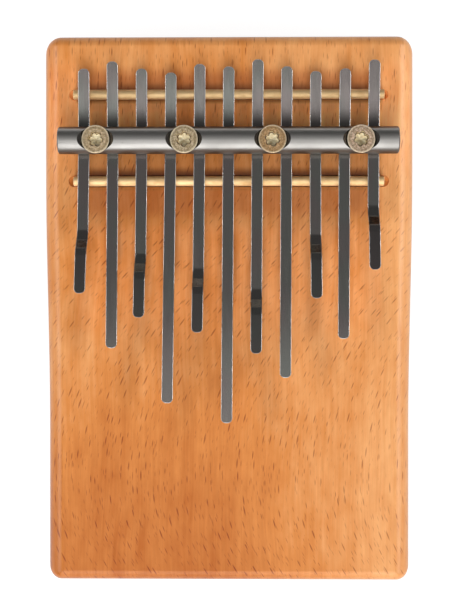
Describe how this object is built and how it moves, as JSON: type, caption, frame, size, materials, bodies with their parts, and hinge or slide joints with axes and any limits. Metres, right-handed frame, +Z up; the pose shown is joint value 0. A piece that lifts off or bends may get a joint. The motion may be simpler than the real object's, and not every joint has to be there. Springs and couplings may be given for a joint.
{
  "type": "kalimba",
  "caption": "Thumb piano: steel tines clamped over two brass bridges by a round bar on a hollow wooden sound box, plucked with the thumbs.",
  "frame": {"origin": "middle of the underside that the instrument lies on", "axes": "+Z up out of the playing face, +Y along the tines towards their tails, +X to the player's right-hand side"},
  "size_m": [0.1164, 0.1712, 0.0427],
  "materials": {
    "beech": "satin oiled beech",
    "beech_back": "satin oiled beech",
    "brass": "polished drawn rod",
    "bar_steel": "satin ground steel",
    "zinc_yellow": "yellow zinc plate",
    "spring_steel": "plain spring steel, slightly rough"
  },
  "bodies": {
    "sound_box": {"sound_box_body": "beech", "back_plate": "beech_back", "front_bridge_rod": "brass", "rear_bridge_rod": "brass", "pressure_bar": "bar_steel", "bar_screw_1": "zinc_yellow", "bar_screw_2": "zinc_yellow", "bar_screw_3": "zinc_yellow", "bar_screw_4": "zinc_yellow"},
    "tine_01_stem": {"tine_01_stem": "spring_steel"},
    "tine_01_tongue": {"tine_01_tongue": "spring_steel"},
    "tine_02_stem": {"tine_02_stem": "spring_steel"},
    "tine_02_tongue": {"tine_02_tongue": "spring_steel"},
    "tine_03_stem": {"tine_03_stem": "spring_steel"},
    "tine_03_tongue": {"tine_03_tongue": "spring_steel"},
    "tine_04_stem": {"tine_04_stem": "spring_steel"},
    "tine_04_tongue": {"tine_04_tongue": "spring_steel"},
    "tine_05_stem": {"tine_05_stem": "spring_steel"},
    "tine_05_tongue": {"tine_05_tongue": "spring_steel"},
    "tine_06_stem": {"tine_06_stem": "spring_steel"},
    "tine_06_tongue": {"tine_06_tongue": "spring_steel"},
    "tine_07_stem": {"tine_07_stem": "spring_steel"},
    "tine_07_tongue": {"tine_07_tongue": "spring_steel"},
    "tine_08_stem": {"tine_08_stem": "spring_steel"},
    "tine_08_tongue": {"tine_08_tongue": "spring_steel"},
    "tine_09_stem": {"tine_09_stem": "spring_steel"},
    "tine_09_tongue": {"tine_09_tongue": "spring_steel"},
    "tine_10_stem": {"tine_10_stem": "spring_steel"},
    "tine_10_tongue": {"tine_10_tongue": "spring_steel"},
    "tine_11_stem": {"tine_11_stem": "spring_steel"},
    "tine_11_tongue": {"tine_11_tongue": "spring_steel"}
  },
  "joints": [
    {"name": "tine_01_tuning", "type": "slide", "parent": "sound_box", "child": "tine_01_stem", "axis": [0.007, 1, 0], "range_m": [-0.0015, 0.0015]},
    {"name": "tine_01_pluck", "type": "hinge", "parent": "tine_01_stem", "child": "tine_01_tongue", "pos_m": [-0.04508, 0.0397, 0.0327], "axis": [1, -0.007, 0], "range_deg": [-3, 4], "stiffness_Nm_per_rad": 8.61},
    {"name": "tine_02_tuning", "type": "slide", "parent": "sound_box", "child": "tine_02_stem", "axis": [0.0017, 1, 0], "range_m": [-0.0015, 0.0015]},
    {"name": "tine_02_pluck", "type": "hinge", "parent": "tine_02_stem", "child": "tine_02_tongue", "pos_m": [-0.03602, 0.0397, 0.0327], "axis": [1, -0.0017, 0], "range_deg": [-3, 4], "stiffness_Nm_per_rad": 5.82},
    {"name": "tine_03_tuning", "type": "slide", "parent": "sound_box", "child": "tine_03_stem", "axis": [0.0052, 1, 0], "range_m": [-0.0015, 0.0015]},
    {"name": "tine_03_pluck", "type": "hinge", "parent": "tine_03_stem", "child": "tine_03_tongue", "pos_m": [-0.02706, 0.0397, 0.0327], "axis": [1, -0.0052, 0], "range_deg": [-3, 4], "stiffness_Nm_per_rad": 7.12},
    {"name": "tine_04_tuning", "type": "slide", "parent": "sound_box", "child": "tine_04_stem", "axis": [0.0105, 0.9999, 0], "range_m": [-0.0015, 0.0015]},
    {"name": "tine_04_pluck", "type": "hinge", "parent": "tine_04_stem", "child": "tine_04_tongue", "pos_m": [-0.01812, 0.0397, 0.0327], "axis": [0.9999, -0.0105, 0], "range_deg": [-3, 4], "stiffness_Nm_per_rad": 4.39},
    {"name": "tine_05_tuning", "type": "slide", "parent": "sound_box", "child": "tine_05_stem", "axis": [0.0079, 1, 0], "range_m": [-0.0015, 0.0015]},
    {"name": "tine_05_pluck", "type": "hinge", "parent": "tine_05_stem", "child": "tine_05_tongue", "pos_m": [-0.00909, 0.0397, 0.0327], "axis": [1, -0.0079, 0], "range_deg": [-3, 4], "stiffness_Nm_per_rad": 6.43},
    {"name": "tine_06_tuning", "type": "slide", "parent": "sound_box", "child": "tine_06_stem", "axis": [0.0061, 1, 0], "range_m": [-0.0015, 0.0015]},
    {"name": "tine_06_pluck", "type": "hinge", "parent": "tine_06_stem", "child": "tine_06_tongue", "pos_m": [-0.00007, 0.0397, 0.0327], "axis": [1, -0.0061, 0], "range_deg": [-3, 4], "stiffness_Nm_per_rad": 4.04},
    {"name": "tine_07_tuning", "type": "slide", "parent": "sound_box", "child": "tine_07_stem", "axis": [0.0079, 1, 0], "range_m": [-0.0015, 0.0015]},
    {"name": "tine_07_pluck", "type": "hinge", "parent": "tine_07_stem", "child": "tine_07_tongue", "pos_m": [0.00891, 0.0397, 0.0327], "axis": [1, -0.0079, 0], "range_deg": [-3, 4], "stiffness_Nm_per_rad": 5.66},
    {"name": "tine_08_tuning", "type": "slide", "parent": "sound_box", "child": "tine_08_stem", "axis": [0.0061, 1, 0], "range_m": [-0.0015, 0.0015]},
    {"name": "tine_08_pluck", "type": "hinge", "parent": "tine_08_stem", "child": "tine_08_tongue", "pos_m": [0.01793, 0.0397, 0.0327], "axis": [1, -0.0061, 0], "range_deg": [-3, 4], "stiffness_Nm_per_rad": 4.95},
    {"name": "tine_09_tuning", "type": "slide", "parent": "sound_box", "child": "tine_09_stem", "axis": [0.0017, 1, 0], "range_m": [-0.0015, 0.0015]},
    {"name": "tine_09_pluck", "type": "hinge", "parent": "tine_09_stem", "child": "tine_09_tongue", "pos_m": [0.02698, 0.0397, 0.0327], "axis": [1, -0.0017, 0], "range_deg": [-3, 4], "stiffness_Nm_per_rad": 8.26},
    {"name": "tine_10_tuning", "type": "slide", "parent": "sound_box", "child": "tine_10_stem", "axis": [0.0087, 1, 0], "range_m": [-0.0015, 0.0015]},
    {"name": "tine_10_pluck", "type": "hinge", "parent": "tine_10_stem", "child": "tine_10_tongue", "pos_m": [0.0359, 0.0397, 0.0327], "axis": [1, -0.0087, 0], "range_deg": [-3, 4], "stiffness_Nm_per_rad": 6.16},
    {"name": "tine_11_tuning", "type": "slide", "parent": "sound_box", "child": "tine_11_stem", "axis": [0.0079, 1, 0], "range_m": [-0.0015, 0.0015]},
    {"name": "tine_11_pluck", "type": "hinge", "parent": "tine_11_stem", "child": "tine_11_tongue", "pos_m": [0.04491, 0.0397, 0.0327], "axis": [1, -0.0079, 0], "range_deg": [-3, 4], "stiffness_Nm_per_rad": 10.82}
  ]
}
